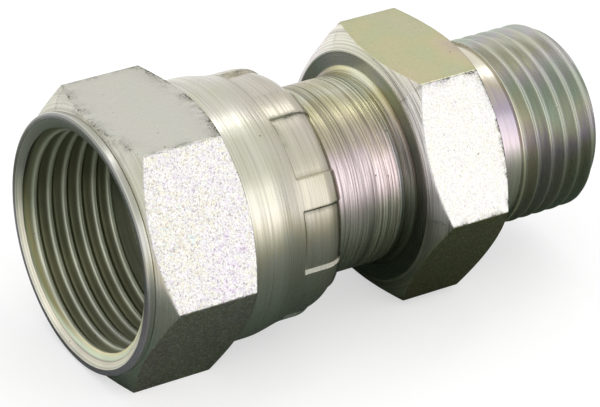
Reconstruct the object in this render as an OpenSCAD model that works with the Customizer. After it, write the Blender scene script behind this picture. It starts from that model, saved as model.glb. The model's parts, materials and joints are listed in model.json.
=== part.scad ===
// Hydraulic adapter: a male BSP stud at one end and a flat-face O-ring seal nut at the other.
// The nut turns freely on the one-piece body, held by its own crimped skirt.
// +X runs along the bore, out through the male stud. Both hexagons have flats on top and below.
// The origin is the centre of the flat sealing face, inside the nut.
// Threads are left plain: the nut's bore is at the thread's crests, and so is the stud.

/* [Swivel nut] */
// Nut from its mouth to the end of its crimped skirt
nut_len = 25.3; // [23:0.1:30]
// Nut across its flats, the 1 1/8 inch size
nut_af = 28.575; // [28.4:0.025:32]
// Short round collar in front of the nut's hexagon, its diameter
nut_collar_d = 28.14; // [27:0.02:28.3]
// Short round collar in front of the nut's hexagon, its length
nut_collar_len = 0.95; // [0.5:0.05:2]
// Nut's mouth to the back of its hexagon
nut_hex_len = 12.87; // [11.5:0.01:14.5]
// Depth of the flat sealing face inside the nut's mouth
face_depth = 12.3; // [12:0.1:14]
// Nut thread, nominal diameter, the 1-14 UNS size
nut_thread_d = 25.4; // [25:0.05:25.8]
// Nut thread, diameter across its crests
nut_thread_minor_d = 23.6; // [23.2:0.05:24]
// Length from the mouth to the end of the nut's thread
nut_thread_end = 11.2; // [9:0.1:11.7]
// Width of the run-out groove behind the nut's thread
nut_groove_w = 2; // [1:0.1:3]
// How far the countersink in the mouth clears the thread all round
countersink_clear = 0.37; // [0.1:0.01:0.6]
// Depth of the countersink in the mouth
countersink_depth = 0.85; // [0.5:0.05:1.5]
// Rounding of the mouth's outer edge
mouth_edge_r = 0.3; // [0.1:0.05:0.6]

/* [Crimped skirt] */
// Bore of the skirt, which the body's collar turns in
skirt_bore_d = 24.6; // [24.2:0.05:25]
// Wall of the skirt where it leaves the hexagon
skirt_root_wall = 1.9; // [1.6:0.05:1.95]
// Wall of the skirt where it is crimped
skirt_wall = 1.25; // [1.05:0.05:1.5]
// Length of the skirt's straight root behind the hexagon
skirt_root_len = 2.6; // [1:0.1:4]
// Length of the skirt's taper down to the crimped wall
skirt_taper_len = 4.6; // [2:0.1:5]
// Number of dents that the crimping jaws leave
dent_count = 8; // [6:1:10]
// Angle that each dent covers
dent_angle = 30; // [16:1:34]
// Turn of the first dent from the lower flat
dent_turn = 37.5; // [0:0.5:45]
// Length from the start of the dents to the end of the skirt
dent_len = 5.8; // [4:0.1:7]
// Depth of the dents at their front step
dent_depth = 0.42; // [0.2:0.01:0.6]
// Depth of the dents on the crimped curve
dent_rear_depth = 0.22; // [0.1:0.01:0.4]

/* [Body] */
// Bore through the body
bore_d = 12.3; // [8:0.1:14]
// Clearance all round between the body's nose and the nut's thread
nose_clear = 0.5; // [0.3:0.05:1]
// Bevel at the rim of the sealing face
nose_bevel = 0.3; // [0.1:0.05:0.6]
// Length of the collar that the skirt is crimped behind
collar_len = 3; // [2:0.1:5]
// Neck between the nut and the body's hexagon
neck_d = 20.7; // [19:0.1:22]
// Bare neck from the skirt's end to the body's hexagon
neck_len = 9.7; // [5:0.1:14]
// Fillet where the neck meets the hexagon
neck_fillet = 0.8; // [0.3:0.05:1.3]
// Body across its flats
body_af = 27; // [26:0.1:32]
// Length of the body's hexagon
body_hex_len = 10.35; // [8:0.05:14]
// Circle that the bevels leave on the ends of the body's hexagon
body_bevel_d = 25.6; // [24:0.1:25.9]
// Angle of the bevels on both hexagons
bevel_angle = 30; // [20:1:35]

/* [Male stud] */
// Stud from the hexagon to its end
stud_len = 14.65; // [12:0.05:20]
// Male thread, the G 1/2 size
stud_thread_d = 20.955; // [20:0.005:22]
// Plain relief between the hexagon and the thread, its length
relief_len = 4.05; // [1:0.05:6]
// Plain relief between the hexagon and the thread, its diameter
relief_d = 20.4; // [18:0.1:20.8]
// Bevel at the stud's end
stud_bevel = 1.2; // [0.5:0.1:2]
// Mouth of the cone seat in the stud's end
seat_mouth_d = 16.4; // [14.5:0.1:17.5]
// Angle across the cone seat
seat_angle = 60; // [50:1:70]

/* [Fit] */
// Running clearance between the nut and the body
swivel_gap = 0.15; // [0.05:0.01:0.25]

/* [Hidden] */
$fn = 96;
arc_steps = 10;
over = 1;

nut_x0 = -face_depth;
nut_x1 = nut_x0 + nut_len;
nut_hex_x1 = nut_x0 + nut_hex_len;
thread_x1 = nut_x0 + nut_thread_end;
groove_x1 = thread_x1 + nut_groove_w;
nut_corner_r = nut_af / sqrt(3);
mouth_r = nut_thread_d / 2 + countersink_clear;
groove_r = nut_thread_d / 2 + 0.1;

skirt_bore_r = skirt_bore_d / 2;
skirt_root_r = skirt_bore_r + skirt_root_wall;
skirt_end_r = skirt_bore_r + skirt_wall;
lip_r = neck_d / 2 + swivel_gap;
crimp_r = skirt_end_r - lip_r;
crimp_bore_r = skirt_bore_r - lip_r;
crimp_x = nut_x1 - crimp_r;
dent_x0 = nut_x1 - dent_len;
dent_floor_r = skirt_end_r - dent_depth;
dent_crimp_r = crimp_r - dent_depth;
dent_crimp_x = crimp_x + dent_depth - dent_rear_depth;

bore_r = bore_d / 2;
nose_r = nut_thread_minor_d / 2 - nose_clear;
collar_r = skirt_bore_r - swivel_gap;
collar_back_r = crimp_bore_r - swivel_gap;
neck_r = collar_r - collar_back_r;
body_hex_x0 = nut_x1 + neck_len;
body_hex_x1 = body_hex_x0 + body_hex_len;
body_corner_r = body_af / sqrt(3);
body_bevel_r = body_bevel_d / 2;
stud_x1 = body_hex_x1 + stud_len;
stud_thread_x0 = body_hex_x1 + relief_len;
stud_r = stud_thread_d / 2;
relief_r = relief_d / 2;
seat_depth = (seat_mouth_d - bore_d) / 2 / tan(seat_angle / 2);

// Points of an arc about [cx, cr], where 0 degrees points away from the axis.
function arc(cx, cr, r, from, to) =
    [for (i = [0:arc_steps])
        let (a = from + (to - from) * i / arc_steps)
        [cx + r * sin(a), cr + r * cos(a)]];

// A solid of revolution about the X axis, from [x, radius] points.
module turned(points, angle = 360, start = 0)
    rotate([0, 90, 0])
        rotate([0, 0, start])
            rotate_extrude(angle = angle)
                polygon([for (p = points) [p[1], p[0]]]);

// A hexagonal bar along X with flats above and below.
module hex_bar(corner_r, x0, x1)
    translate([x0, 0, 0])
        rotate([0, 90, 0])
            rotate([0, 0, 30])
                cylinder(h = x1 - x0, r = corner_r, $fn = 6);

// The envelope that bevels a hexagon's corners, from one end circle to the other.
module bevel_envelope(x0, r0, x1, r1, corner_r)
    turned([
        [x0, 0],
        [x0, r0],
        [x0 + (corner_r + over - r0) * tan(bevel_angle), corner_r + over],
        [x1 - (corner_r + over - r1) * tan(bevel_angle), corner_r + over],
        [x1, r1],
        [x1, 0]]);

// The nut's hexagon, bevelled at both ends.
module nut_hexagon()
    intersection() {
        hex_bar(nut_corner_r, nut_x0, nut_hex_x1);
        bevel_envelope(nut_x0 + nut_collar_len, nut_collar_d / 2,
            nut_hex_x1, skirt_root_r, nut_corner_r);
    }

// The nut's round outside: the collar in front and the skirt, closed in by the crimp.
module nut_rounds() {
    edge_x = nut_x0 + mouth_edge_r;
    edge_r = nut_collar_d / 2 - mouth_edge_r;
    turned(concat(
        [[nut_x0, 0]],
        arc(edge_x, edge_r, mouth_edge_r, -90, 0),
        [[nut_x0 + nut_collar_len + over, nut_collar_d / 2],
         [nut_x0 + nut_collar_len + over, 0]]));
    turned(concat(
        [[nut_hex_x1 - over, 0],
         [nut_hex_x1 - over, skirt_root_r],
         [nut_hex_x1 + skirt_root_len, skirt_root_r],
         [nut_hex_x1 + skirt_root_len + skirt_taper_len, skirt_end_r]],
        arc(crimp_x, lip_r, crimp_r, 0, 90),
        [[nut_x1, 0]]));
}

// The nut's inside: countersink, thread bore, run-out groove, skirt bore and crimped lip.
module nut_inside()
    turned(concat(
        [[nut_x0 - over, 0],
         [nut_x0 - over, mouth_r],
         [nut_x0, mouth_r],
         [nut_x0 + countersink_depth, nut_thread_minor_d / 2],
         [thread_x1, nut_thread_minor_d / 2],
         [thread_x1, groove_r],
         [groove_x1, groove_r],
         [groove_x1, skirt_bore_r]],
        arc(crimp_x, lip_r, crimp_bore_r, 0, 90),
        [[nut_x1 + over, lip_r],
         [nut_x1 + over, 0]]));

// What one jaw of the crimping tool presses out of the skirt.
module dent(turn)
    turned(concat(
        [[dent_x0, dent_floor_r]],
        arc(dent_crimp_x, lip_r, dent_crimp_r, 0, 90),
        [[nut_x1 + over, lip_r],
         [nut_x1 + over, skirt_root_r + over],
         [dent_x0, skirt_root_r + over]]),
        angle = dent_angle, start = turn - dent_angle / 2);

module swivel_nut()
    color("#c9ccc0")
        difference() {
            union() {
                nut_hexagon();
                nut_rounds();
            }
            nut_inside();
            for (i = [0:dent_count - 1])
                dent(dent_turn + i * 360 / dent_count);
        }

// The body's nose, with the sealing face, the collar behind it and the neck.
module body_front()
    turned(concat(
        [[0, 0],
         [0, nose_r - nose_bevel],
         [nose_bevel, nose_r],
         [crimp_x - collar_len, nose_r],
         [crimp_x - collar_len, collar_r - nose_bevel],
         [crimp_x - collar_len + nose_bevel, collar_r]],
        arc(crimp_x, neck_r, collar_back_r, 0, 90),
        arc(body_hex_x0 - neck_fillet, neck_r + neck_fillet, neck_fillet, 180, 90),
        [[body_hex_x0 + over, neck_r + neck_fillet],
         [body_hex_x0 + over, 0]]));

module body_hexagon()
    intersection() {
        hex_bar(body_corner_r, body_hex_x0, body_hex_x1);
        bevel_envelope(body_hex_x0, body_bevel_r, body_hex_x1, body_bevel_r, body_corner_r);
    }

// The male stud: relief behind the hexagon, thread at its full diameter, bevelled end.
module stud()
    turned([
        [body_hex_x1 - over, 0],
        [body_hex_x1 - over, relief_r],
        [stud_thread_x0, relief_r],
        [stud_thread_x0, stud_r],
        [stud_x1 - stud_bevel, stud_r],
        [stud_x1, stud_r - stud_bevel],
        [stud_x1, 0]]);

// The bore, opening into the cone seat at the stud's end.
module bore()
    turned([
        [-over, 0],
        [-over, bore_r],
        [stud_x1 - seat_depth, bore_r],
        [stud_x1, seat_mouth_d / 2],
        [stud_x1 + over, seat_mouth_d / 2],
        [stud_x1 + over, 0]]);

module adapter_body()
    color("#bfbf9f")
        difference() {
            union() {
                body_front();
                body_hexagon();
                stud();
            }
            bore();
        }

adapter_body();
swivel_nut();
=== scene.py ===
"""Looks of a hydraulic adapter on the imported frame: threads, crimped skirt and plated, turned surfaces."""
import json
import math

import bmesh
import bpy
import numpy as np
from mathutils import Matrix, Vector


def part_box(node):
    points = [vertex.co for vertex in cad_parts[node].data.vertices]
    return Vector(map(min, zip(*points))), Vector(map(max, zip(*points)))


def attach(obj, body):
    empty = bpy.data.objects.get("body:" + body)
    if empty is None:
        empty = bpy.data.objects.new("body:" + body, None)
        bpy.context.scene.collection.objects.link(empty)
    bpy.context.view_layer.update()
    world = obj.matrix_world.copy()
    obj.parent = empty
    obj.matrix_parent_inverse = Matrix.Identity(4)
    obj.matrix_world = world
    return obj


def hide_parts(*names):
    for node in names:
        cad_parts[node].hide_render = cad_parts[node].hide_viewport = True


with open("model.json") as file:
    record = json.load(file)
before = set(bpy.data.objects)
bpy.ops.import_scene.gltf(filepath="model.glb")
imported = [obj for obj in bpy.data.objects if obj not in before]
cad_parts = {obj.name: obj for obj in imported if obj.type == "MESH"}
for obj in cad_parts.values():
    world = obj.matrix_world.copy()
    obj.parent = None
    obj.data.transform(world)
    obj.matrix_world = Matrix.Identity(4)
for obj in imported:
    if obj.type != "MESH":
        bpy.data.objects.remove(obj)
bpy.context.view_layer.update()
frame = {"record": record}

MM = 0.001

# Sizes in millimetres. X runs along the bore, from the nut to the male stud.
nut_low, nut_high = [np.array(corner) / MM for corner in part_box("swivel_nut")]
body_high = np.array(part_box("adapter_body")[1]) / MM
mounts = {mount["name"]: mount for mount in frame["record"]["mounts"]}

NUT_X0 = nut_low[0]
NUT_X1 = nut_high[0]
NUT_FLAT = nut_high[2]
BODY_FLAT = body_high[2]
STUD_X1 = body_high[0]
BORE_R = mounts["flow_bore"]["dims"]["r_mm"]
NUT_CREST_R = mounts["orfs_thread"]["dims"]["r_mm"]
STUD_R = mounts["bsp_stud"]["dims"]["r_mm"]
SHOULDER_X = mounts["bsp_seal_shoulder"]["pos_m"][0] / MM

# Swivel nut
COLLAR_R = 14.07
COLLAR_LEN = 0.95
STEP_WIDTH = 0.16
STEP_DEPTH = 0.1
STEP_RAMP = 0.25
MOUTH_EDGE_R = 0.28
MOUTH_R = 13.35
COUNTERSINK = 0.95
COUNTERSINK_RING = 0.32
COUNTERSINK_RING_DEPTH = 0.012
NUT_ROOT_R = 12.7
FIRST_CREST = 1.6
NUT_THREAD_END = 11.2
GROOVE_R = 12.8
GROOVE_LEN = 2.0
NUT_HEX_LEN = 12.87
SKIRT_BORE_R = 12.3
SKIRT_ROOT_R = 14.2
SKIRT_ROOT_LEN = 2.6
SKIRT_TAPER_LEN = 4.6
SKIRT_END_R = 13.55
LIP_R = 10.5
LIP_EDGE = 0.05
DENT_COUNT = 8
DENT_ANGLE = 30.0
DENT_TURN = -7.5
DENT_LEN = 5.8
DENT_DEPTH = 0.42
DENT_REAR_DEPTH = 0.12
DENT_SIDE_BLEND = 1.3
DENT_FRONT_BLEND = 0.4

# Adapter body
NOSE_R = 11.3
NOSE_BEVEL = 0.3
SWIVEL_GAP = 0.15
RETAINER_LEN = 3.0
NECK_R = 10.35
NECK_FILLET = 0.8
BODY_HEX_LEN = 10.35
BODY_BEVEL_R = 12.8
RELIEF_LEN = 4.05
RELIEF_R = 10.2
STUD_FIRST_CREST = 5.15
STUD_BEVEL = 1.2
SEAT_MOUTH_R = 8.2
SEAT_HALF_ANGLE = 30.0

# Both threads have 14 turns to the inch. Soft is how far a corner of the profile is rounded, and worn how
# deep the crests' wear, brightened also by a painted highlight, reaches.
PITCH = 25.4 / 14
NUT_HALF_ANGLE = 30
NUT_CREST_HALF = PITCH / 10
NUT_CREST_SOFT = 0.16
NUT_ROOT_SOFT = 0.6
NUT_WORN_LIT_DEPTH = 0.5
CONE_WORN_LIT_DEPTH = 0.3
STUD_HALF_ANGLE = 27.5
STUD_DEPTH = 0.640327 * PITCH
STUD_CREST_RISE = 0.16
STUD_CREST_SOFT = 0.1
STUD_ROOT_SOFT = 0.6
STUD_WORN_LIT_DEPTH = 0.08
THREAD_START = 0.7

# Both hexagons. Their bevelled edges are rounded by EDGE_SOFT, and by less near the ends of the bevels.
BEVEL_SLOPE = math.tan(math.radians(30))
CORNER_ROUND = 0.3
EDGE_SOFT = 0.2
EDGE_SOFT_LEAST = 0.02
EDGE_SOFT_RISE = 8

# Turning marks: the pitches that they are summed from with their shares, and each face's seed and depth
MARK_PITCHES = ((0.23, 0.5), (0.37, 0.8), (0.61, 1.0), (1.07, 0.7))
MARK_FADE = 0.3
SKIRT_MARKS = (3, 0.003)
NECK_MARKS = (7, 0.006)
RELIEF_MARKS = (11, 0.002)

# Columns of points, in degrees: even ones, and close ones on both sides of a corner or a dent's side
COLUMN_STEP = 2.0
COLUMN_GAP = 0.4
CORNER_COLUMNS = (0, 0.17, 0.35, 0.52, 0.75, 1.2)
DENT_COLUMNS = (0, 0.17, 0.34, 0.52, 0.9)
CORNERS = [(60.0 * i, CORNER_COLUMNS) for i in range(6)]

# Rings of points: shares of a hexagon's bevels, distances from their edges, rings to one turn of a thread,
# and steps along X or outward elsewhere
FRONT_SHARES = (0, 0.25, 0.5, 0.7, 0.82, 0.9, 0.96, 1)
BACK_SHARES = (0, 0.04, 0.1, 0.18, 0.3, 0.5, 0.75, 1)
EDGE_DISTANCES = (0.02, 0.05, 0.08, 0.12, 0.17, 0.25, 0.45)
MIDDLE_SHARES = np.linspace(0, 1, 14)[1:-1]
THREAD_STEPS = 24
FACE_STEP = 0.2
MOUTH_STEP = 0.15
NOSE_STEP = 0.25
MARKED_STEP = 0.075
SKIRT_STEP = 0.09
DENT_STEP = 0.15
DENT_FRONT_STEP = 0.05
DENT_FRONT_HALF = 0.3
BORE_STEP = 4
CRIMP_TURNS = np.radians(np.linspace(0, 88, 23))

# Points nearer than WELD metres are joined, faces narrower than SLIVER metres are taken out, points at one
# place to a millionth of a metre share their marks, and edges that turn by more than SHARP_ANGLE degrees
# stay sharp
WELD = 5e-7
SLIVER = 1e-7
PLACES_PER_METRE = 1e6
SHARP_ANGLE = 38

# The flats are listed by their angle from +Y: 30, 90, 150 degrees and so on. Film is how much film tints
# each, and above 1 how much painted shade darkens it, as on the body's two lower flats; grit is how speckled
# it is, its speckle partly painted sparkle, with painted glints above 1, mostly on the lower flats; the
# smudges are how much dark oxide lies along its front and rear edges, and CORNER_SMUDGE is the share of it
# that lies along its corners.
NUT_FILMS = [0.2, 0.2, 0.0, 0.3, 0.5, 0.3]
NUT_GRIT_AND_SPARKLE = [1.2, 0.12, 1.0, 1.8, 2.0, 1.8]
NUT_FRONT_SMUDGES = [0.6, 0.65, 0.1, 0.1, 0.5, 0.6]
NUT_REAR_SMUDGES = [0.5, 0.9, 0.05, 0.2, 0.6, 0.4]
NUT_SMUDGE_WIDTH = 0.6
BODY_FILMS_AND_SHADE = [0.4, 1.0, 0.0, 1.8, 1.5, 0.2]
BODY_GRIT_AND_SPARKLE = [1.0, 0.15, 0.45, 1.7, 1.8, 1.6]
BODY_FRONT_SMUDGES = [0.4, 0.1, 0.1, 0.1, 0.5, 0.5]
BODY_REAR_SMUDGES = [0.7, 0.2, 1.3, 0.3, 0.5, 0.3]
BODY_SMUDGE_WIDTH = 0.22
CORNER_SMUDGE = 0.6
CORNER_SMUDGE_WIDTH = 0.35

# Painted shade along the step on one side of each dent: how dark, and how far it reaches into the dent and
# out of it. The dent's own film tint, which also brightens its pressed floor as painted light, grows over
# PRESSED_BLEND, and has already started at its sides.
DENT_STEP_SHADE = 0.8
DENT_STEP_SHADE_INSIDE = 0.4
DENT_STEP_SHADE_OUTSIDE = 0.15
PRESSED_BLEND = 1.5
PRESSED_START = 0.2

# How much painted light lifts the dark inner surfaces
GROOVE_PAINTED_LIGHT = 0.5
RUN_OUT_PAINTED_LIGHT = 0.3
SEAT_PAINTED_LIGHT = 0.8
BORE_PAINTED_LIGHT = 0.55

NUT_HEX_X0 = NUT_X0 + COLLAR_LEN
NUT_HEX_X1 = NUT_X0 + NUT_HEX_LEN
CRIMP_R = SKIRT_END_R - LIP_R
CRIMP_BORE_R = SKIRT_BORE_R - LIP_R
CRIMP_X = NUT_X1 - CRIMP_R
BODY_HEX_X0 = SHOULDER_X - BODY_HEX_LEN
STUD_CREST_X = SHOULDER_X + STUD_FIRST_CREST
DENT_X0 = NUT_X1 - DENT_LEN
DENT_APART = 360 / DENT_COUNT


def soft_min(a, b, soft):
    """The smaller of a and b, rounded where they cross."""
    h = np.maximum(soft - np.abs(a - b), 0) / soft
    return np.minimum(a, b) - h * h * soft / 4


def soft_max(a, b, soft):
    return -soft_min(-a, -b, soft)


def smooth_step(value):
    t = np.clip(value, 0, 1)
    return t * t * (3 - 2 * t)


def hexagon(angles, flat_r):
    """Radius of a hexagon with corners at 0, 60, 120 degrees and so on, its corners rounded."""
    turn = np.radians((angles + 30) % 60 - 30)
    flat = flat_r / np.cos(np.radians(30) - np.abs(turn))
    centre = (flat_r - CORNER_ROUND) / math.cos(math.radians(30))
    inside = np.maximum(CORNER_ROUND ** 2 - (centre * np.sin(turn)) ** 2, 0)
    rounded = centre * np.cos(turn) + np.sqrt(inside)
    on_arc = np.abs(rounded * np.sin(turn)) <= CORNER_ROUND / 2
    return np.where(on_arc, rounded, flat)


def columns(clusters):
    """Angles in degrees for the columns of a mesh: even ones, and close ones round each given angle."""
    angles = set(np.round(np.arange(0, 360, COLUMN_STEP), 4))
    for centre, offsets in clusters:
        near = max(offsets)
        angles = {a for a in angles if abs((a - centre + 180) % 360 - 180) > near + COLUMN_GAP}
        for offset in offsets:
            angles.add(round((centre + offset) % 360, 4))
            angles.add(round((centre - offset) % 360, 4))
    return np.array(sorted(angles))


def tool_marks(x, seed, depth):
    """Uneven turning grooves along X."""
    rng = np.random.default_rng(seed)
    total = np.zeros_like(x)
    for pitch, share in MARK_PITCHES:
        total += share * np.sin(2 * np.pi * x / pitch + rng.uniform(0, 2 * np.pi))
    return depth * total


def fading_marks(x, marks):
    """Turning grooves that fade out at both ends."""
    fade = np.clip(np.minimum(x - x[0], x[-1] - x) / MARK_FADE, 0, 1)
    return tool_marks(x, *marks) * fade


class Skin:
    """Rings of points round the X axis, joined into one closed mesh. Each point carries three marks, which
    the
    materials use: dark oxide with painted shade, the plating's tint with painted light, and speckle with
    painted sparkle."""

    def __init__(self, angles):
        self.angles = angles
        self.points = []
        self.marks = {"edge": [], "film": [], "grit": []}
        self.faces = []
        self.finishes = []

    def grid(self, x, r, finish, shift=0, **marks):
        """Adds rows of rings. shift joins each row's end to a later row's start, as along a thread, and
        marks are values that the materials use, of which points that are joined keep the highest."""
        x = np.asarray(x, float)
        r = np.asarray(r, float)
        count = len(self.angles)
        if x.ndim == 1:
            x = np.repeat(x[:, None], count, axis=1)
        if r.ndim == 1:
            r = np.repeat(r[:, None], count, axis=1)
        rows = len(x)
        first = sum(len(p) for p in self.points)
        turn = np.radians(self.angles)
        points = np.stack([x, r * np.cos(turn), r * np.sin(turn)], axis=-1)
        self.points.append(points.reshape(-1, 3))
        for label, values in self.marks.items():
            values.append((marks.get(label, 0) + 0 * x).ravel())
        index = first + np.arange(rows * count).reshape(rows, count)
        after = np.clip(np.arange(rows) + shift, 0, rows - 1)
        index = np.hstack([index, index[after, :1]])
        faces = np.stack([index[:-1, :-1], index[:-1, 1:], index[1:, 1:], index[1:, :-1]], axis=-1)
        self.faces.append(faces.reshape(-1, 4))
        self.finishes.append(np.full(len(faces) * count, finish))

    def outline(self, points, finish):
        """Adds plain rings through [x, radius] points."""
        points = np.array(points, float)
        self.grid(points[:, 0], points[:, 1], finish)

    def build(self, name, materials):
        """Makes the mesh, joins the points that lie at one place, and puts the piece into the scene."""
        mesh = bpy.data.meshes.new(name)
        points = np.concatenate(self.points) * MM
        faces = np.concatenate(self.faces)
        mesh.from_pydata(points.tolist(), [], faces.tolist())
        for material in materials:
            mesh.materials.append(material)
        mesh.polygons.foreach_set("material_index", np.concatenate(self.finishes).astype(np.int32))
        rounded = np.round(points * PLACES_PER_METRE).astype(int)
        places, place = np.unique(rounded, axis=0, return_inverse=True)
        for label, values in self.marks.items():
            highest = np.zeros(len(places))
            np.maximum.at(highest, place.ravel(), np.concatenate(values))
            layer = mesh.attributes.new(label, "FLOAT", "POINT")
            layer.data.foreach_set("value", highest[place.ravel()].astype(np.float32))
        work = bmesh.new()
        work.from_mesh(mesh)
        bmesh.ops.remove_doubles(work, verts=work.verts, dist=WELD)
        bmesh.ops.dissolve_degenerate(work, edges=work.edges, dist=SLIVER)
        bmesh.ops.recalc_face_normals(work, faces=work.faces)
        work.to_mesh(mesh)
        work.free()
        mesh.shade_smooth()
        mesh.set_sharp_from_angle(angle=math.radians(SHARP_ANGLE))
        piece = bpy.data.objects.new(name, mesh)
        bpy.context.scene.collection.objects.link(piece)
        return piece


def arc(centre_x, centre_r, radius, start, end, steps=10):
    """[x, radius] points of an arc, where 0 degrees points away from the axis and 90 along +X."""
    turns = np.radians(np.linspace(start, end, steps + 1))
    return [[centre_x + radius * math.sin(t), centre_r + radius * math.cos(t)] for t in turns]


def spaced(start, end, step):
    """Even values from start to end, about a step apart."""
    count = max(2, int(round(abs(end - start) / step)) + 1)
    return np.linspace(start, end, count)


def thread_rows(angles, x0, x1):
    """Rows that follow a right-hand thread from x0 to x1, cut off square at both ends."""
    count = int(math.ceil(((x1 - x0) / PITCH + 1) * THREAD_STEPS)) + 1
    start = x0 - PITCH + PITCH * np.arange(count)[:, None] / THREAD_STEPS
    return np.clip(start + PITCH * angles[None, :] / 360, x0, x1)


def crest_distance(x, angles, crest_x):
    """Distance along X from the nearest crest of a thread that has one at crest_x at 0 degrees."""
    turns = (x - crest_x) / PITCH - angles / 360
    return np.abs(turns - np.round(turns)) * PITCH


# Each kind of surface, by its number in the list of finishes
FLAT, TURNED, CONE, ROUGH_TURNED, RELIEF, THREAD, INSIDE = range(7)


def bevelled_hexagon(skin, flat_r, x0, r0, x1, r1, flat_marks, smudge_width, finish):
    """The sides of a hexagon between two bevelled ends, its rows following the bevels' curved edges."""
    side = hexagon(skin.angles, flat_r)
    flat = (skin.angles // 60).astype(int)
    film, grit, front_smudge, rear_smudge = [np.array(values)[flat] for values in flat_marks]
    edge0 = x0 + (side - r0) * BEVEL_SLOPE
    edge1 = x1 - (side - r1) * BEVEL_SLOPE
    near = EDGE_DISTANCES[-1]
    front = [x0 + (edge0 - x0) * share for share in FRONT_SHARES]
    middle = [edge0 + distance for distance in EDGE_DISTANCES]
    middle += [edge0 + near + (edge1 - edge0 - 2 * near) * share for share in MIDDLE_SHARES]
    middle += [edge1 - distance for distance in EDGE_DISTANCES[::-1]]
    back = [edge1 + (x1 - edge1) * share for share in BACK_SHARES]
    turn = np.abs((skin.angles + 30) % 60 - 30)
    corner = np.exp(-(turn * math.radians(1) * flat_r / CORNER_SMUDGE_WIDTH) ** 2)

    def add(rows, surface):
        x = np.array(rows)
        bevel0 = r0 + (x - x0) / BEVEL_SLOPE
        bevel1 = r1 + (x1 - x) / BEVEL_SLOPE
        bevel = np.minimum(bevel0, bevel1)
        ends = np.minimum(x - x0, x1 - x) * EDGE_SOFT_RISE
        soft = EDGE_SOFT * np.clip(ends, EDGE_SOFT_LEAST, 1)
        r = soft_min(side[None, :] + 0 * x, bevel, soft)
        near_front = front_smudge * np.exp(-np.abs(x - edge0) / smudge_width)
        near_rear = rear_smudge * np.exp(-np.abs(x - edge1) / smudge_width)
        along = np.maximum(front_smudge, rear_smudge) * corner * CORNER_SMUDGE
        edge = np.maximum(np.maximum(near_front, near_rear), along)
        skin.grid(x, r, surface, edge=edge, film=film, grit=grit)

    add(front, finish)
    add([front[-1]] + middle + [back[0]], FLAT)
    add(back, TURNED)


def skirt_radius(x):
    """The skirt's outside before it is dented."""
    taper_x0 = NUT_HEX_X1 + SKIRT_ROOT_LEN
    taper = smooth_step((x - taper_x0) / SKIRT_TAPER_LEN)
    plain = SKIRT_ROOT_R + (SKIRT_END_R - SKIRT_ROOT_R) * taper
    bend = np.sqrt(np.maximum(CRIMP_R ** 2 - np.maximum(x - CRIMP_X, 0) ** 2, 0))
    return plain + bend - CRIMP_R


def dented(x, angles):
    """The skirt's outside with the dents of the crimping jaws."""
    plain = skirt_radius(x)
    floor_x = CRIMP_X + DENT_DEPTH - DENT_REAR_DEPTH
    floor_bend = CRIMP_R - DENT_DEPTH
    bend = np.sqrt(np.maximum(floor_bend ** 2 - np.maximum(x - floor_x, 0) ** 2, 0))
    floor = LIP_R + bend
    turn = np.abs((angles - DENT_TURN + DENT_APART / 2) % DENT_APART - DENT_APART / 2)
    side = smooth_step((DENT_ANGLE / 2 - turn) / DENT_SIDE_BLEND + 0.5)
    front = smooth_step((x - DENT_X0) / DENT_FRONT_BLEND + 0.5)
    return np.minimum(plain, plain + (np.minimum(floor, plain) - plain) * side * front)


def dent_marks(x, angles):
    """Painted shade along the step on one side of each dent, and where the jaws have pressed the skirt,
    which painted light brightens.
    """
    turn = (angles - DENT_TURN + DENT_APART / 2) % DENT_APART - DENT_APART / 2
    from_side = (DENT_ANGLE / 2 - np.abs(turn)) * math.radians(1) * SKIRT_END_R
    inward = np.minimum(from_side, x - DENT_X0)
    reach = np.where(inward > 0, DENT_STEP_SHADE_INSIDE, DENT_STEP_SHADE_OUTSIDE)
    edge = DENT_STEP_SHADE * (turn < 0) * np.exp(-(inward / reach) ** 2)
    return {"edge": edge, "film": smooth_step(inward / PRESSED_BLEND + PRESSED_START)}


def nut_collar(skin):
    """The nut's front face and its collar, with a small step before the hexagon."""
    skin.outline([[NUT_X0, r] for r in spaced(MOUTH_R, COLLAR_R - MOUTH_EDGE_R, MOUTH_STEP)], TURNED)
    skin.outline(arc(NUT_X0 + MOUTH_EDGE_R, COLLAR_R - MOUTH_EDGE_R, MOUTH_EDGE_R, -90, 0, steps=6), TURNED)
    skin.outline([[NUT_X0 + MOUTH_EDGE_R, COLLAR_R], [NUT_HEX_X0 - STEP_WIDTH, COLLAR_R],
                  [NUT_HEX_X0 - STEP_WIDTH * (1 - STEP_RAMP), COLLAR_R - STEP_DEPTH],
                  [NUT_HEX_X0 - STEP_WIDTH * STEP_RAMP, COLLAR_R - STEP_DEPTH],
                  [NUT_HEX_X0, COLLAR_R]], TURNED)


def nut_skirt(skin):
    """The outside of the skirt: its turned part, its dents, and the bend that ends in the lip."""
    around = skin.angles[None, :]
    x = spaced(NUT_HEX_X1, DENT_X0 - DENT_FRONT_HALF, SKIRT_STEP)
    marks = tool_marks(x, *SKIRT_MARKS) * np.sin(np.linspace(0, np.pi, len(x)))
    skin.grid(x, skirt_radius(x) + marks, TURNED)
    x = np.concatenate([spaced(DENT_X0 - DENT_FRONT_HALF, DENT_X0 + DENT_FRONT_HALF, DENT_FRONT_STEP),
                        spaced(DENT_X0 + DENT_FRONT_HALF + DENT_FRONT_STEP, CRIMP_X, DENT_STEP)])
    skin.grid(x, dented(x[:, None], around), TURNED, **dent_marks(x[:, None], around))
    x = CRIMP_X + CRIMP_R * np.sin(CRIMP_TURNS)
    skin.grid(x, dented(x[:, None], around), TURNED, **dent_marks(x[:, None], around))
    last = dented(x[-1:, None], around)
    skin.grid([x[-1], NUT_X1, NUT_X1], np.vstack([last, np.full_like(last, LIP_R + LIP_EDGE),
                                                  np.full_like(last, LIP_R)]), TURNED)


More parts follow.
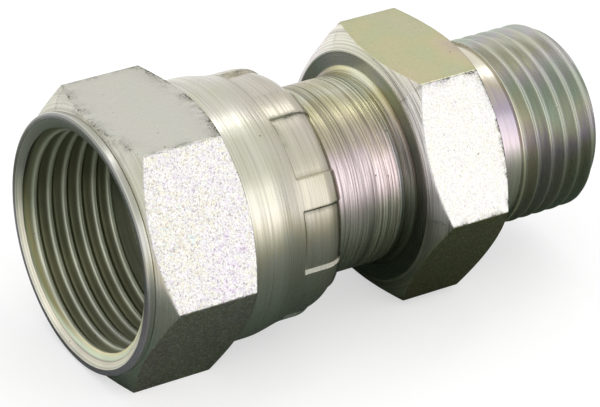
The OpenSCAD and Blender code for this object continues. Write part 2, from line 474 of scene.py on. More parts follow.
def nut_thread(x, angles):
    """Radius of the nut's inside thread, opened at the mouth by the countersink, and how far its crests and
    the countersink show wear and a painted highlight.
    """
    away = crest_distance(x, angles[None, :], NUT_X0 + FIRST_CREST)
    flank = NUT_CREST_R + (away - NUT_CREST_HALF) / math.tan(math.radians(NUT_HALF_ANGLE))
    thread = soft_max(flank, np.full_like(x, NUT_CREST_R), NUT_CREST_SOFT)
    thread = soft_min(thread, np.full_like(x, NUT_ROOT_R), NUT_ROOT_SOFT)
    depth = x - NUT_X0
    cone = MOUTH_R - depth * (MOUTH_R - NUT_CREST_R) / COUNTERSINK
    cone -= COUNTERSINK_RING_DEPTH * np.sin(2 * np.pi * depth / COUNTERSINK_RING)
    worn_and_lit = (1 - smooth_step((thread - NUT_CREST_R) / NUT_WORN_LIT_DEPTH)) ** 2
    cut = smooth_step((cone - thread + CONE_WORN_LIT_DEPTH) / CONE_WORN_LIT_DEPTH)
    return np.maximum(thread, cone), np.maximum(worn_and_lit, cut)


def nut_inside(skin):
    """The inside, from the lip through the skirt's bore and the groove to the thread and the mouth."""
    skin.outline([[NUT_X1, LIP_R], [CRIMP_X + CRIMP_BORE_R, LIP_R]], INSIDE)
    skin.outline(arc(CRIMP_X, LIP_R, CRIMP_BORE_R, 90, 0), INSIDE)
    thread_x1 = NUT_X0 + NUT_THREAD_END
    groove_x1 = thread_x1 + GROOVE_LEN
    skin.outline([[CRIMP_X, SKIRT_BORE_R], [groove_x1, SKIRT_BORE_R]], INSIDE)
    skin.grid([groove_x1, groove_x1, thread_x1], [SKIRT_BORE_R, GROOVE_R, GROOVE_R], INSIDE,
              film=GROOVE_PAINTED_LIGHT)
    x = thread_rows(skin.angles, NUT_X0, thread_x1)[::-1]
    r, worn_and_lit = nut_thread(x, skin.angles)
    run_out = np.vstack([np.full(len(skin.angles), GROOVE_R), r[0]])
    skin.grid([thread_x1, thread_x1], run_out, INSIDE, film=RUN_OUT_PAINTED_LIGHT)
    skin.grid(x, r, INSIDE, shift=-THREAD_STEPS, film=worn_and_lit)


def make_nut(materials):
    """The swivel nut, as one closed mesh from the mouth over the outside to the lip and back inside."""
    dent_sides = [(DENT_TURN + DENT_APART * i + side * DENT_ANGLE / 2, DENT_COLUMNS)
                  for i in range(DENT_COUNT) for side in (-1, 1)]
    skin = Skin(columns(CORNERS + dent_sides))
    nut_collar(skin)
    bevelled_hexagon(skin, NUT_FLAT, NUT_HEX_X0, COLLAR_R, NUT_HEX_X1, SKIRT_ROOT_R,
                     (NUT_FILMS, NUT_GRIT_AND_SPARKLE, NUT_FRONT_SMUDGES, NUT_REAR_SMUDGES), NUT_SMUDGE_WIDTH, TURNED)
    nut_skirt(skin)
    nut_inside(skin)
    return skin.build("swivel_nut_turned", materials)


def body_neck(skin):
    """The nose with the sealing face, the collar that the skirt closes behind, and the neck."""
    retainer_r = SKIRT_BORE_R - SWIVEL_GAP
    retainer_x = CRIMP_X - RETAINER_LEN
    skin.outline([[0, r] for r in spaced(BORE_R, NOSE_R - NOSE_BEVEL, NOSE_STEP)], TURNED)
    skin.outline([[0, NOSE_R - NOSE_BEVEL], [NOSE_BEVEL, NOSE_R], [retainer_x, NOSE_R],
                  [retainer_x, retainer_r - NOSE_BEVEL], [retainer_x + NOSE_BEVEL, retainer_r],
                  [CRIMP_X, retainer_r]], TURNED)
    back = CRIMP_BORE_R - SWIVEL_GAP
    skin.outline(arc(CRIMP_X, retainer_r - back, back, 0, 90), INSIDE)
    x = spaced(CRIMP_X + back, BODY_HEX_X0 - NECK_FILLET, MARKED_STEP)
    skin.grid(x, NECK_R + fading_marks(x, NECK_MARKS), ROUGH_TURNED)
    skin.outline(arc(BODY_HEX_X0 - NECK_FILLET, NECK_R + NECK_FILLET, NECK_FILLET, 180, 90), ROUGH_TURNED)
    skin.outline([[BODY_HEX_X0, r] for r in spaced(NECK_R + NECK_FILLET, BODY_BEVEL_R, FACE_STEP)], THREAD)


def stud_thread(x, angles, x0):
    """Radius of the male thread, which starts shallow at its relief and ends in a bevel."""
    away = crest_distance(x, angles[None, :], STUD_CREST_X)
    flank = STUD_R + STUD_CREST_RISE - away / math.tan(math.radians(STUD_HALF_ANGLE))
    thread = soft_min(flank, np.full_like(x, STUD_R), STUD_CREST_SOFT)
    thread = soft_max(thread, np.full_like(x, STUD_R - STUD_DEPTH), STUD_ROOT_SOFT)
    thread = STUD_R + (thread - STUD_R) * smooth_step((x - x0) / THREAD_START)
    bevel = STUD_R - STUD_BEVEL + (STUD_X1 - x)
    return np.minimum(np.minimum(thread, STUD_R), bevel)


def body_stud(skin):
    """The shoulder that seals on the port, the relief, and the male thread."""
    skin.outline([[SHOULDER_X, r] for r in spaced(BODY_BEVEL_R, RELIEF_R, FACE_STEP)], TURNED)
    thread_x0 = SHOULDER_X + RELIEF_LEN
    x = spaced(SHOULDER_X, thread_x0, MARKED_STEP)
    skin.grid(x, RELIEF_R + fading_marks(x, RELIEF_MARKS), RELIEF)
    x = thread_rows(skin.angles, thread_x0, STUD_X1)
    r = stud_thread(x, skin.angles, thread_x0)
    skin.outline([[thread_x0, RELIEF_R], [thread_x0, STUD_R]], TURNED)
    # The crests' wear, with a painted highlight along them
    worn_and_lit = 1 - smooth_step((STUD_R - r) / STUD_WORN_LIT_DEPTH)
    skin.grid(x, r, THREAD, shift=THREAD_STEPS, film=worn_and_lit)


def body_bore(skin):
    """The end of the stud, the cone seat in it, and the bore back to the sealing face."""
    seat_depth = (SEAT_MOUTH_R - BORE_R) / math.tan(math.radians(SEAT_HALF_ANGLE))
    skin.outline([[STUD_X1, r] for r in spaced(STUD_R - STUD_BEVEL, SEAT_MOUTH_R, FACE_STEP)], TURNED)
    skin.grid([STUD_X1, STUD_X1 - seat_depth], [SEAT_MOUTH_R, BORE_R], INSIDE, film=SEAT_PAINTED_LIGHT)
    x = spaced(STUD_X1 - seat_depth, 0, BORE_STEP)
    skin.grid(x, np.full(len(x), BORE_R), INSIDE, film=BORE_PAINTED_LIGHT)


def make_body(materials):
    """The adapter's body, as one closed mesh from the sealing face over the outside and down the bore."""
    skin = Skin(columns(CORNERS))
    body_neck(skin)
    bevelled_hexagon(skin, BODY_FLAT, BODY_HEX_X0, BODY_BEVEL_R, SHOULDER_X, BODY_BEVEL_R,
                     (BODY_FILMS_AND_SHADE, BODY_GRIT_AND_SPARKLE, BODY_FRONT_SMUDGES, BODY_REAR_SMUDGES), BODY_SMUDGE_WIDTH,
                     CONE)
    body_stud(skin)
    body_bore(skin)
    return skin.build("adapter_body_turned", materials)


# Materials. Colours are linear, and lengths inside the textures are in millimetres.
FLAT_ROUGHNESS = 0.22
FLAT_TINTS = [(0.32, (0.46, 0.42, 0.45)), (0.42, (0.63, 0.605, 0.61)), (0.54, (0.69, 0.675, 0.635)),
              (0.66, (0.675, 0.68, 0.69))]
SPECK_TINTS = [(0.34, (0.95, 0.88, 1.0)), (0.46, (1, 1, 1)), (0.54, (1, 1, 1)), (0.62, (1.0, 0.955, 0.79)),
               (0.70, (0.88, 0.97, 0.98))]
FLAT_GRAZING_TINT = (0.55, 0.55, 0.53)
PLAIN_FLAT = (0.65, 0.645, 0.61)
FLAT_FILM_TINTS = [(0.34, (0.90, 0.79, 0.66)), (0.42, (0.95, 0.86, 0.60)), (0.50, (0.90, 0.87, 0.57)),
                   (0.58, (0.85, 0.87, 0.58)), (0.66, (0.87, 0.86, 0.61))]
BEVEL_FILM = (0.93, 0.92, 0.88)
# Painted light on the dents' pressed floors, a little bluer
PRESSED_FILM_AND_LIGHT = (1.13, 1.13, 1.17)
CREAM = (0.60, 0.59, 0.47)
PALE = (0.65, 0.625, 0.55)
STRAW = (0.60, 0.56, 0.43)
KHAKI = (0.52, 0.485, 0.30)
UMBER = (0.50, 0.44, 0.345)
MAUVE = (0.69, 0.585, 0.595)
VIOLET = (0.42, 0.37, 0.44)
OLIVE = (0.46, 0.49, 0.38)
GREEN = (0.56, 0.61, 0.54)

# The film's tint, and painted light and shade that fall lighter or darker round the side, by how far up
# round the axis a point lies, from its lowest line at 0 to its highest at 1
SKIRT_TINTS = [(0.30, GREEN), (0.52, (0.59, 0.57, 0.50)), (0.61, STRAW), (0.69, PALE), (0.78, CREAM),
               (0.90, PALE), (1.0, CREAM)]
NECK_TINTS = [(0.34, OLIVE), (0.52, PALE), (0.61, MAUVE), (0.72, MAUVE), (0.79, UMBER), (0.90, KHAKI),
              (1.0, (0.66, 0.66, 0.54))]
CONE_TINTS = [(0.34, OLIVE), (0.50, (0.52, 0.51, 0.44)), (0.60, (0.88, 0.83, 0.85)),
              (0.74, (0.98, 0.94, 0.93)), (0.84, (0.95, 0.92, 0.84)), (1.0, (0.82, 0.82, 0.68))]
RELIEF_TINTS = [(0.30, OLIVE), (0.52, PALE), (0.60, (0.60, 0.51, 0.54)), (0.72, VIOLET), (0.80, UMBER),
                (0.88, (0.72, 0.68, 0.58)), (1.0, (0.74, 0.70, 0.54))]
THREAD_TINTS = [(0.25, (0.36, 0.43, 0.34)), (0.42, (0.42, 0.42, 0.34)), (0.55, (0.42, 0.39, 0.43)),
                (0.66, (0.48, 0.48, 0.40)), (0.78, (0.45, 0.50, 0.43)), (0.9, (0.51, 0.49, 0.49)),
                (1.0, (0.52, 0.52, 0.43))]
# Dark tints: painted shade on the surfaces inside the nut and down the body's bore
INSIDE_TINTS = [(0.0, (0.15, 0.153, 0.09)), (0.14, (0.18, 0.184, 0.102)), (0.26, (0.24, 0.242, 0.133)),
                (0.36, (0.175, 0.182, 0.099)), (0.48, (0.115, 0.123, 0.064)), (1.0, (0.11, 0.125, 0.065))]
# Brightens the stud's crests: wear, with a painted highlight along them
WORN_CREST_AND_HIGHLIGHT = (1.15, 1.15, 1.05)
# Brightens the nut's inner crests and countersink, wear with a painted highlight, and lifts the groove,
# run-out, seat and bore as painted light
INSIDE_CREST_AND_PAINTED_LIGHT = (3.7, 3.75, 5.4)
# Painted shade and painted highlights along X, multiplied in: the span along X, the tints at the bottom of
# the side, those at its top, and how far up the first start and end to change into the second. They reach
# this far along the neck, past the relief, into the mouth and past the lip.
FILLET_REACH = 6
STUD_REACH = 2.2
MOUTH_REACH = 1.1
LIP_REACH = 0.1
# Painted highlight on the neck, then painted shade in a dark band at its fillet
FILLET_SHADE = (
    (BODY_HEX_X0 - FILLET_REACH, BODY_HEX_X0),
    [(0.0, (1, 1, 1)), (0.18, (1.10, 1.09, 1.08)), (0.45, (1.32, 1.29, 1.27)), (0.70, (1.30, 1.25, 1.22)),
     (0.76, (0.78, 0.92, 0.94)), (0.81, (0.42, 0.44, 0.38)), (0.97, (0.38, 0.41, 0.36)),
     (1.0, (0.50, 0.53, 0.48))],
    [(0.0, (1, 1, 1)), (0.45, (1.08, 1.07, 1.06)), (0.76, (1.02, 1.06, 1.05)), (0.85, (1.2, 1.2, 1.12)),
     (1.0, (1.2, 1.2, 1.12))],
    (0.70, 0.86))
# Painted shade on the body's front face, and a painted highlight fading over the stud's first turns
STUD_SHADE = (
    (BODY_HEX_X0, SHOULDER_X + RELIEF_LEN + STUD_REACH),
    [(0.0, (0.55, 0.57, 0.54)), (0.2, (0.55, 0.57, 0.54)), (0.5, (1.35, 1.3, 1.2)), (0.87, (1.35, 1.3, 1.2)),
     (1.0, (1, 1, 1))],
    [(0.0, (0.89, 0.89, 0.88)), (0.2, (0.89, 0.89, 0.88)), (0.5, (1.09, 1.08, 1.05)),
     (0.87, (1.09, 1.08, 1.05)), (1.0, (1, 1, 1))],
    (0.70, 0.86))
# Painted highlights in streaks on the lower side of the countersink, and painted shade on its top
MOUTH_SHADE = (
    (NUT_X0, NUT_X0 + MOUTH_REACH),
    [(0.0, (1.42, 1.31, 1.38)), (0.1, (0.86, 0.81, 0.85)), (0.18, (1.46, 1.37, 1.42)),
     (0.28, (1.16, 1.05, 1.06)), (0.34, (1.46, 1.30, 1.38)), (0.42, (0.75, 0.70, 0.69)),
     (0.52, (1.1, 1.19, 1.14)), (0.66, (1.22, 1.28, 1.19)), (0.8, (1.34, 1.19, 0.93)), (1.0, (1, 1, 1))],
    [(0.0, (0.58, 0.57, 0.625)), (0.4, (0.46, 0.455, 0.50)), (0.8, (0.43, 0.43, 0.425)), (1.0, (1, 1, 1))],
    (0.47, 0.57))
# Painted shade: the skirt darker towards the crimp
SKIRT_SHADE = [(0.642, (1, 1, 1)), (0.713, (0.88, 0.86, 0.84)), (0.857, (0.82, 0.79, 0.76)),
               (0.989, (0.74, 0.71, 0.67)), (1.0, (1, 1, 1))]
# Painted highlight on the lower side of the mouth's face and painted shade on its top, then the skirt's
NUT_SHADE = (
    (NUT_X0, NUT_X1 + LIP_REACH),
    [(0.0, (1.35, 1.12, 1.55)), (0.009, (1.35, 1.12, 1.55)), (0.02, (1, 1, 1))] + SKIRT_SHADE,
    [(0.0, (0.47, 0.49, 0.55)), (0.004, (0.50, 0.52, 0.58)), (0.008, (1.1, 1.1, 1.15)),
     (0.012, (0.70, 0.73, 0.78)), (0.03, (0.75, 0.76, 0.78)), (0.038, (1, 1, 1))] + SKIRT_SHADE,
    (0.40, 0.55))
# The colour of the dark oxide, and of the painted shade at the dents
SMUDGE_AND_SHADE_COLOUR = (0.085, 0.085, 0.065)
# How much the painted glints brighten a flat
GLINT = (1.9, 1.9, 1.9)
# The darkest that painted shade makes a flat
DARKEST_FLAT = 0.55

# The noises: grains per millimetre along X, Y and Z, or for the rings along, out and round, then how many
# finer layers each has and how strong they are
CLOUDS = ((0.16, 0.12, 0.12), 2.0, 0.55)
OXIDE_PATCHES = ((0.6, 0.6, 0.6), 2.0, 0.6)
OXIDE_GRAINS = ((4.5, 4.5, 4.5), 1.0, 0.5)
PITS = ((2.2, 2.2, 2.2), 1.0, 0.5)
SPECKS = ((1.6, 1.6, 1.6), 3.0, 0.7)
GRIT = ((4.2, 4.2, 4.2), 1.0, 0.6)
GLINTS = ((3.6, 3.6, 3.6), 1.0, 0.6)
BLASTED = ((3.8, 3.8, 3.8), 2.0, 0.65)
UNEVEN = ((1.1, 1.1, 1.1), 2.0, 0.5)
UNEVEN_GLOSS = ((1.2, 1.2, 1.2), 2.0, 0.5)
RINGS = ((3.2, 3.2, 0.35), 4.0, 0.75)
FINE_RINGS = ((6.5, 6.5, 0.7), 2.0, 0.6)

# The levels of a noise between which something fades in; MOST is nearly all of any noise
MOST = (0.3, 0.7)
PATCH_LEVELS = (0.38, 0.60)
GRAIN_LEVELS = (0.36, 0.66)
PIT_LEVELS = (0.775, 0.82)
GLINT_LEVELS = (0.50, 0.66)
RING_LEVELS = (0.38, 0.52)
FINE_RING_LEVELS = (0.36, 0.50)

# Dark oxide, and on the turned surfaces also painted shade at the dents: the least of it between its grains,
# and how much lies on each kind of surface
OXIDE_LEAST = 0.25
FLAT_OXIDE = 1.6
TURNED_OXIDE_AND_SHADE = 0.9

# The flats: how far the clouds move the specks' tint, the grit up to which the blasting is weakest and how
# strong it is there, how tall the bumps stand in millimetres, and the range of the roughness
SPECK_DRIFT = 0.09
BLASTED_FROM = 0.2
BLASTED_LEAST = 0.5
BLASTED_DEPTH = 0.085
UNEVEN_DEPTH = 0.022
FLAT_GLOSS = (0.19, 0.27)

# The turned surfaces: the stretch of their highlights round the axis, the shares of the rings' shade and
# depth that the fine rings have, and how much the rings change the roughness
ANISOTROPY = 0.4
FINE_SHADE = 0.7
FINE_DEPTH = 0.5
RING_GLOSS = (0.1, -0.06)


class Paint:
    """A metal shader and the few nodes that its colour and bump are made from."""

    def __init__(self, name, roughness, anisotropic=0.0, metallic=1.0):
        self.material = bpy.data.materials.new(name)
        self.material.use_nodes = True
        self.tree = self.material.node_tree
        self.shader = self.tree.nodes["Principled BSDF"]
        self.shader.inputs["Metallic"].default_value = metallic
        self.shader.inputs["Roughness"].default_value = roughness
        self.shader.inputs["Anisotropic"].default_value = anisotropic
        place = self.node("ShaderNodeTexCoord")
        self.place = self.math_vector("SCALE", place.outputs["Object"], 1 / MM)
        self.ring_place = self.along_and_out()

    def node(self, kind, **settings):
        made = self.tree.nodes.new(kind)
        for key, value in settings.items():
            setattr(made, key, value)
        return made

    def link(self, source, target):
        self.tree.links.new(source, target)

    def math_vector(self, operation, source, value):
        made = self.node("ShaderNodeVectorMath", operation=operation)
        self.link(source, made.inputs[0])
        if operation == "SCALE":
            made.inputs["Scale"].default_value = value
        else:
            made.inputs[1].default_value = value
        return made.outputs[0]

    def along_and_out(self):
        """Place along the axis, distance from it, and a slow turn round it."""
        flat = self.math_vector("MULTIPLY", self.place, (0, 1, 1))
        out = self.node("ShaderNodeVectorMath", operation="LENGTH")
        self.link(flat, out.inputs[0])
        turn = self.node("ShaderNodeVectorMath", operation="NORMALIZE")
        self.link(flat, turn.inputs[0])
        parts = self.node("ShaderNodeSeparateXYZ")
        self.link(self.place, parts.inputs[0])
        turned = self.node("ShaderNodeSeparateXYZ")
        self.link(turn.outputs["Vector"], turned.inputs[0])
        joined = self.node("ShaderNodeCombineXYZ")
        self.link(parts.outputs["X"], joined.inputs["X"])
        self.link(out.outputs["Value"], joined.inputs["Y"])
        self.link(self.combine("ADD", turned.outputs["Z"], turned.outputs["Y"]), joined.inputs["Z"])
        self.along = parts.outputs["X"]
        self.up = turned.outputs["Z"]
        return joined.outputs["Vector"]

    def noise(self, stretch, detail, rough, rings=False):
        """Noise whose grains per millimetre are in stretch, along X, Y and Z or along, out and round."""
        made = self.node("ShaderNodeTexNoise")
        place = self.ring_place if rings else self.place
        self.link(self.math_vector("MULTIPLY", place, stretch), made.inputs["Vector"])
        made.inputs["Scale"].default_value = 1.0
        made.inputs["Detail"].default_value = detail
        made.inputs["Roughness"].default_value = rough
        return made.outputs["Fac"]

    def ramp(self, source, stops):
        """The colour at source on a ramp of (position, colour) stops."""
        made = self.node("ShaderNodeValToRGB")
        points = made.color_ramp.elements
        while len(points) < len(stops):
            points.new(0.5)
        for point, (position, colour) in zip(points, stops):
            point.position = position
            point.color = (*colour, 1)
        self.link(source, made.inputs["Fac"])
        return made.outputs["Color"]

    def levels(self, source, low, high, to_low=0.0, to_high=1.0):
        """Moves low to to_low and high to to_high, and clips what lies past them."""
        made = self.node("ShaderNodeMapRange")
        self.link(source, made.inputs["Value"])
        for name, value in (("From Min", low), ("From Max", high), ("To Min", to_low), ("To Max", to_high)):
            made.inputs[name].default_value = value
        return made.outputs["Result"]

    def combine(self, operation, a, b):
        made = self.node("ShaderNodeMath", operation=operation)
        for socket, value in zip(made.inputs, (a, b)):
            if isinstance(value, (int, float)):
                socket.default_value = value
            else:
                self.link(value, socket)
        return made.outputs[0]

    def mix(self, factor, a, b, blend="MIX"):
        made = self.node("ShaderNodeMix", data_type="RGBA", blend_type=blend)
        sockets = [made.inputs[0], made.inputs[6], made.inputs[7]]
        for socket, value in zip(sockets, (factor, a, b)):
            if isinstance(value, (int, float)):
                socket.default_value = value
            elif isinstance(value, tuple):
                socket.default_value = (*value, 1)
            else:
                self.link(value, socket)
        return made.outputs[2]

    def attribute(self, name):
        """One of the values that the mesh's points carry: oxide with painted shade, the plating's tint with
        painted light, speckle with painted sparkle.
        """
        made = self.node("ShaderNodeAttribute", attribute_name=name)
        return made.outputs["Fac"]

    def bump(self, height, distance, after=None):
        """Bump of a height of 0 to 1 that stands distance millimetres tall."""
        made = self.node("ShaderNodeBump")
        made.inputs["Distance"].default_value = distance * MM
        self.link(height, made.inputs["Height"])
        if after is not None:
            self.link(after, made.inputs["Normal"])
        return made.outputs["Normal"]

    def finish(self, colour, normal, roughness):
        """Joins the three to the shader and gives the material."""
        self.link(colour, self.shader.inputs["Base Color"])
        self.link(normal, self.shader.inputs["Normal"])
        self.link(roughness, self.shader.inputs["Roughness"])
        return self.material


def smudged_and_shaded(paint, colour, amount):
    """Dark oxide in broken patches along the edges of the flats, painted shade in broken patches along one
    side of each dent, and a few pits elsewhere.
    """
    patches = paint.levels(paint.noise(*OXIDE_PATCHES), *PATCH_LEVELS)
    near = paint.combine("MULTIPLY", paint.attribute("edge"), patches)
    grains = paint.levels(paint.noise(*OXIDE_GRAINS), *GRAIN_LEVELS, OXIDE_LEAST, 1.0)
    dark = paint.combine("MULTIPLY", paint.combine("MULTIPLY", near, grains), amount)
    pits = paint.levels(paint.noise(*PITS), *PIT_LEVELS)
    return paint.mix(paint.combine("MAXIMUM", dark, pits), colour, SMUDGE_AND_SHADE_COLOUR)


def flat_zinc(name):
    """The hexagons' flats: blasted, so that they glitter, with specks and clouds of faint colour. The specks
    are partly painted sparkle, and the lower flats carry painted glints and painted shade.
    """
    paint = Paint(name, FLAT_ROUGHNESS)
    paint.shader.inputs["Specular Tint"].default_value = (*FLAT_GRAZING_TINT, 1)
    clouds = paint.noise(*CLOUDS)
    drift = paint.levels(clouds, *MOST, -SPECK_DRIFT, SPECK_DRIFT)
    specks = paint.combine("ADD", paint.noise(*SPECKS), drift)
    # The specks' colour: a blasted grain, partly painted sparkle
    grit = paint.ramp(paint.noise(*GRIT), FLAT_TINTS)
    grit = paint.mix(1.0, grit, paint.ramp(specks, SPECK_TINTS), "MULTIPLY")
    tint = paint.mix(paint.attribute("grit"), PLAIN_FLAT, grit)
    filmed = paint.mix(1.0, tint, paint.ramp(clouds, FLAT_FILM_TINTS), "MULTIPLY")
    tint = paint.mix(paint.attribute("film"), tint, filmed)
    # Film above 1 darkens the flat: painted shade, on the body's lower flats
    tint = paint.mix(1.0, tint, paint.levels(paint.attribute("film"), 1, 2, 1.0, DARKEST_FLAT), "MULTIPLY")
    # Painted glints: pale grains where grit is above 1, mostly on the lower flats
    glints = paint.levels(paint.noise(*GLINTS), *GLINT_LEVELS)
    glints = paint.combine("MULTIPLY", glints, paint.levels(paint.attribute("grit"), 1, 2))
    tint = paint.mix(glints, tint, paint.mix(1.0, tint, GLINT, "MULTIPLY"))
    blasted = paint.levels(paint.attribute("grit"), BLASTED_FROM, 1, BLASTED_LEAST, 1)
    blasted = paint.combine("MULTIPLY", paint.noise(*BLASTED), blasted)
    uneven = paint.bump(paint.noise(*UNEVEN), UNEVEN_DEPTH)
    normal = paint.bump(blasted, BLASTED_DEPTH, uneven)
    rough = paint.levels(paint.noise(*UNEVEN_GLOSS), *MOST, *FLAT_GLOSS)
    return paint.finish(smudged_and_shaded(paint, tint, FLAT_OXIDE), normal, rough)


def turned_zinc(name, tints, roughness, ring_depth, ring_shade, film_tint=BEVEL_FILM, drift=0.06,
                shade_along=None, metallic=1.0):
    """Turned surfaces: rings round the axis, under a tinted plating whose tint changes round the side and
    drifts, where the same tints hold painted light and shade round the side, and along X painted shade and
    highlights where shade_along gives tints for it."""
    paint = Paint(name, roughness, ANISOTROPY, metallic)
    tangent = paint.node("ShaderNodeTangent", direction_type="RADIAL", axis="X")
    paint.link(tangent.outputs["Tangent"], paint.shader.inputs["Tangent"])
    rings = paint.noise(*RINGS, rings=True)
    fine = paint.noise(*FINE_RINGS, rings=True)
    clouds = paint.noise(*CLOUDS)
    # How far up round the axis: it places the film's tint, and the painted light and shade round the side
    upward = paint.levels(paint.combine("ARCSINE", paint.up, 0), -math.pi / 2, math.pi / 2)
    film = paint.combine("ADD", upward, paint.levels(clouds, *MOST, -drift, drift))
    film = paint.combine("ADD", film, paint.levels(rings, *MOST, -drift / 2, drift / 2))
    colour = paint.ramp(film, tints)
    if shade_along:
        span, low_tints, top_tints, change = shade_along
        along = paint.levels(paint.along, *span)
        low = paint.mix(1.0, colour, paint.ramp(along, low_tints), "MULTIPLY")
        top = paint.mix(1.0, colour, paint.ramp(along, top_tints), "MULTIPLY")
        colour = paint.mix(paint.levels(upward, *change), low, top)
    shade = paint.levels(rings, *RING_LEVELS, 1 - ring_shade, 1.0)
    colour = paint.mix(1.0, colour, shade, "MULTIPLY")
    shade = paint.levels(fine, *FINE_RING_LEVELS, 1 - ring_shade * FINE_SHADE, 1.0)
    colour = paint.mix(1.0, colour, shade, "MULTIPLY")
    # Where the points carry it: the film's tint, and painted light on the dents' floors, the crests and the
    # inner surfaces
    filmed = paint.mix(1.0, colour, film_tint, "MULTIPLY")
    colour = paint.mix(paint.attribute("film"), colour, filmed)
    normal = paint.bump(fine, ring_depth * FINE_DEPTH, paint.bump(rings, ring_depth))
    rough = paint.levels(rings, *MOST, roughness + RING_GLOSS[0], roughness + RING_GLOSS[1])
    return paint.finish(smudged_and_shaded(paint, colour, TURNED_OXIDE_AND_SHADE), normal, rough)


def finishes(prefix):
    """The materials of one piece, in the order of their numbers above. The rings' depth is in millimetres,
    and their shade is how much they darken the surface."""
    return [flat_zinc(prefix + "_flats"),
            turned_zinc(prefix + "_turned", SKIRT_TINTS, roughness=0.22, ring_depth=0.015, ring_shade=0.18,
                        film_tint=PRESSED_FILM_AND_LIGHT, drift=0.09, shade_along=NUT_SHADE),
            turned_zinc(prefix + "_cone", CONE_TINTS, roughness=0.34, ring_depth=0.06, ring_shade=0.5),
            turned_zinc(prefix + "_rough_turned", NECK_TINTS, roughness=0.26, ring_depth=0.06,
                        ring_shade=0.55, shade_along=FILLET_SHADE),
            turned_zinc(prefix + "_relief", RELIEF_TINTS, roughness=0.2, ring_depth=0.006, ring_shade=0.12),
            turned_zinc(prefix + "_thread", THREAD_TINTS, roughness=0.27, ring_depth=0.004, ring_shade=0.12,
                        film_tint=WORN_CREST_AND_HIGHLIGHT, drift=0.14, shade_along=STUD_SHADE),
            turned_zinc(prefix + "_inside", INSIDE_TINTS, roughness=0.4, ring_depth=0.008, ring_shade=0.15,
                        film_tint=INSIDE_CREST_AND_PAINTED_LIGHT, drift=0.1, shade_along=MOUTH_SHADE, metallic=0.5)]


# Stage, in metres and degrees, with the camera's lens and sensor in millimetres
FLOOR_Z = nut_low[2] * MM
FLOOR_SIZE = 12.0
# The card: painted shade under the object that only reflections see, darkest near it
CARD_SPAN = (-0.05, 0.8)
CARD_DEPTH = (-0.8, 0.05)
CARD_LIFT = 0.00005
CARD_CENTRE = 0.018
CARD_SQUEEZE = 0.5
CARD_FADE = (-0.09, 0.27)
CARD_DARKEST = -0.12
CARD_NEAR = (0.12, 0.145, 0.115)
CARD_FAR = (0.72, 0.74, 0.70)
CAMERA_PLACE = (-0.17282, -0.26978, 0.19545)
CAMERA_AZIMUTH = 34.883
CAMERA_ELEVATION = 31.073
CAMERA_ROLL = 3.729
CAMERA_LENS = 214.5
CAMERA_SENSOR = 36
SKY = 1.0
FLOOR_GREY = (0.5, 0.5, 0.5)
FLOOR_GLOW = 0.55

# Lamps: the direction each comes from, its distance, width, height and radiance
OVERHEAD = ((0.45, 0.20, 0.87), 0.7, 0.13, 0.5, 1.5)
FRONT = ((0.45, -0.81, 0.34), 0.8, 0.6, 0.5, 0.7)


def make_camera():
    azimuth, elevation = math.radians(CAMERA_AZIMUTH), math.radians(CAMERA_ELEVATION)
    forward = Vector((math.sin(azimuth) * math.cos(elevation), math.cos(azimuth) * math.cos(elevation),
                      -math.sin(elevation)))
    data = bpy.data.cameras.new("camera")
    data.lens = CAMERA_LENS
    data.sensor_width = CAMERA_SENSOR
    data.clip_start = 0.01
    data.clip_end = 50
    camera = bpy.data.objects.new("camera", data)
    camera.rotation_mode = "QUATERNION"
    roll = Matrix.Rotation(math.radians(CAMERA_ROLL), 3, "Z").to_quaternion()
    camera.rotation_quaternion = forward.to_track_quat("-Z", "Y") @ roll
    camera.location = CAMERA_PLACE
    bpy.context.scene.collection.objects.link(camera)
    bpy.context.scene.camera = camera


def plane(name, span, depth, z):
    """A level rectangle from span[0] to span[1] along X and depth[0] to depth[1] along Y."""
    mesh = bpy.data.meshes.new(name)
    places = [(0, 0), (1, 0), (1, 1), (0, 1)]
    corners = [(span[right], depth[back], z) for right, back in places]
    mesh.from_pydata(corners, [], [(0, 1, 2, 3)])
    made = bpy.data.objects.new(name, mesh)
    bpy.context.scene.collection.objects.link(made)
    return made


def matt(name, colour):
    material = bpy.data.materials.new(name)
    material.use_nodes = True
    shader = material.node_tree.nodes["Principled BSDF"]
    shader.inputs["Base Color"].default_value = (*colour, 1)
    shader.inputs["Roughness"].default_value = 1.0
    shader.inputs["Specular IOR Level"].default_value = 0.0
    return material, shader


def make_floor():
    """A pale floor that reads as white, with the object's shadow on it."""
    material, shader = matt("floor", FLOOR_GREY)
    tree = material.node_tree
    glow = tree.nodes.new("ShaderNodeEmission")
    path = tree.nodes.new("ShaderNodeLightPath")
    both = tree.nodes.new("ShaderNodeAddShader")
    seen = path.outputs["Is Camera Ray"]
    for ray in ("Is Glossy Ray", "Is Transmission Ray"):
        either = tree.nodes.new("ShaderNodeMath")
        either.operation = "MAXIMUM"
        tree.links.new(seen, either.inputs[0])
        tree.links.new(path.outputs[ray], either.inputs[1])
        seen = either.outputs[0]
    level = tree.nodes.new("ShaderNodeMapRange")
    level.inputs["To Max"].default_value = FLOOR_GLOW
    tree.links.new(seen, level.inputs["Value"])
    tree.links.new(level.outputs["Result"], glow.inputs["Strength"])
    tree.links.new(shader.outputs[0], both.inputs[0])
    tree.links.new(glow.outputs[0], both.inputs[1])
    tree.links.new(both.outputs[0], tree.nodes["Material Output"].inputs["Surface"])
    half = FLOOR_SIZE / 2
    floor = plane("floor", (-half, half), (-half, half), FLOOR_Z)
    floor.data.materials.append(material)


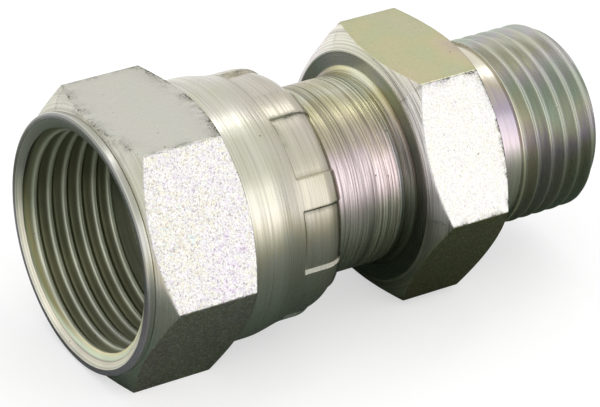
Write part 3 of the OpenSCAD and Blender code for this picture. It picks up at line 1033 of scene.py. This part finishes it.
def make_dark_card():
    """A card under the object, dark near it and pale far off, which only reflections see: painted shade,
    standing for the object's shadow under it as its lower faces reflect it.
    """
    material, shader = matt("dark_card", CARD_FAR)
    tree = material.node_tree
    place = tree.nodes.new("ShaderNodeTexCoord")
    shift = tree.nodes.new("ShaderNodeVectorMath")
    shift.operation = "MULTIPLY_ADD"
    shift.inputs[1].default_value = (CARD_SQUEEZE, 1, 0)
    shift.inputs[2].default_value = (-CARD_CENTRE * CARD_SQUEEZE, 0, 0)
    away = tree.nodes.new("ShaderNodeVectorMath")
    away.operation = "LENGTH"
    fade = tree.nodes.new("ShaderNodeMapRange")
    fade.interpolation_type = "SMOOTHERSTEP"
    fade.inputs["From Min"].default_value = CARD_FADE[0]
    fade.inputs["From Max"].default_value = CARD_FADE[1]
    fade.inputs["To Min"].default_value = CARD_DARKEST
    colour = tree.nodes.new("ShaderNodeMix")
    colour.data_type = "RGBA"
    colour.inputs[6].default_value = (*CARD_NEAR, 1)
    colour.inputs[7].default_value = (*CARD_FAR, 1)
    tree.links.new(place.outputs["Object"], shift.inputs[0])
    tree.links.new(shift.outputs[0], away.inputs[0])
    tree.links.new(away.outputs["Value"], fade.inputs["Value"])
    tree.links.new(fade.outputs["Result"], colour.inputs[0])
    tree.links.new(colour.outputs[2], shader.inputs["Base Color"])
    card = plane("dark_card", CARD_SPAN, CARD_DEPTH, FLOOR_Z + CARD_LIFT)
    card.data.materials.append(material)
    card.visible_camera = False
    card.visible_diffuse = False
    card.visible_transmission = False
    card.visible_shadow = False


def softbox(name, direction, distance, width, height, radiance):
    """A rectangular lamp that shines at the object from a direction, with a given radiance."""
    data = bpy.data.lights.new(name, "AREA")
    data.shape = "RECTANGLE"
    data.size = width
    data.size_y = height
    data.energy = radiance * math.pi * width * height
    lamp = bpy.data.objects.new(name, data)
    toward = Vector(direction).normalized()
    lamp.location = toward * distance
    lamp.rotation_mode = "QUATERNION"
    lamp.rotation_quaternion = toward.to_track_quat("Z", "Y")
    bpy.context.scene.collection.objects.link(lamp)


def make_light():
    world = bpy.data.worlds.new("studio")
    world.use_nodes = True
    background = world.node_tree.nodes["Background"]
    background.inputs["Color"].default_value = (1, 1, 1, 1)
    background.inputs["Strength"].default_value = SKY
    bpy.context.scene.world = world
    softbox("overhead", *OVERHEAD)
    softbox("front", *FRONT)


make_camera()
make_floor()
make_dark_card()
make_light()
nut = make_nut(finishes("nut"))
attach(nut, "nut")
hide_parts("swivel_nut")
body = make_body(finishes("body"))
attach(body, "adapter")
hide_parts("adapter_body")

bpy.context.scene.view_settings.view_transform = "Standard"
